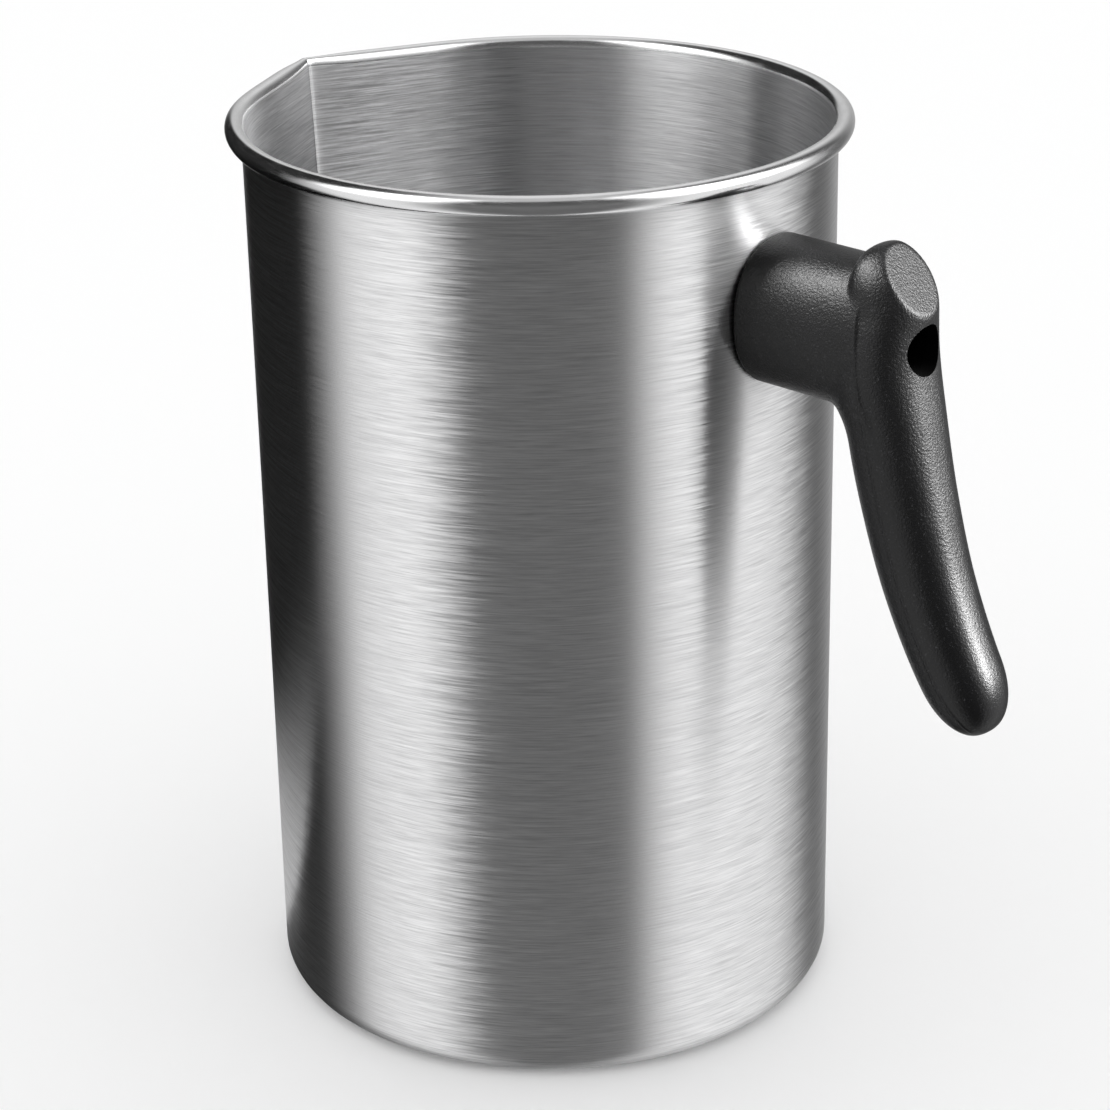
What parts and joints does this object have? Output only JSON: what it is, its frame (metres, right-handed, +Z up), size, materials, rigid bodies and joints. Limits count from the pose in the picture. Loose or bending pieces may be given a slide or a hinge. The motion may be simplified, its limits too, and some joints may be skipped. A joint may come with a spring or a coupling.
{
  "type": "candle melting pot",
  "caption": "Tall straight aluminium pouring pot with a pressed V spout, rolled rim and a curved black side handle, for melting wax.",
  "frame": {"origin": "centre of the vessel's flat base, on the surface it stands on", "axes": "+Z up along the vessel's axis, +X towards the handle, -X towards the spout, so Y runs across the vessel"},
  "size_m": [0.2012, 0.137, 0.206],
  "materials": {
    "vessel_metal": "finely brushed round the wall, rolled rim polished",
    "boss_metal": "machined, as welded",
    "handle_plastic": "moulded phenolic with a fine grain",
    "fastener_steel": "zinc plated"
  },
  "bodies": {
    "root": {"vessel": "vessel_metal", "weld_boss": "boss_metal", "handle": "handle_plastic", "flat_washer": "fastener_steel", "lock_washer": "fastener_steel", "handle_screw": "fastener_steel"}
  },
  "joints": []
}
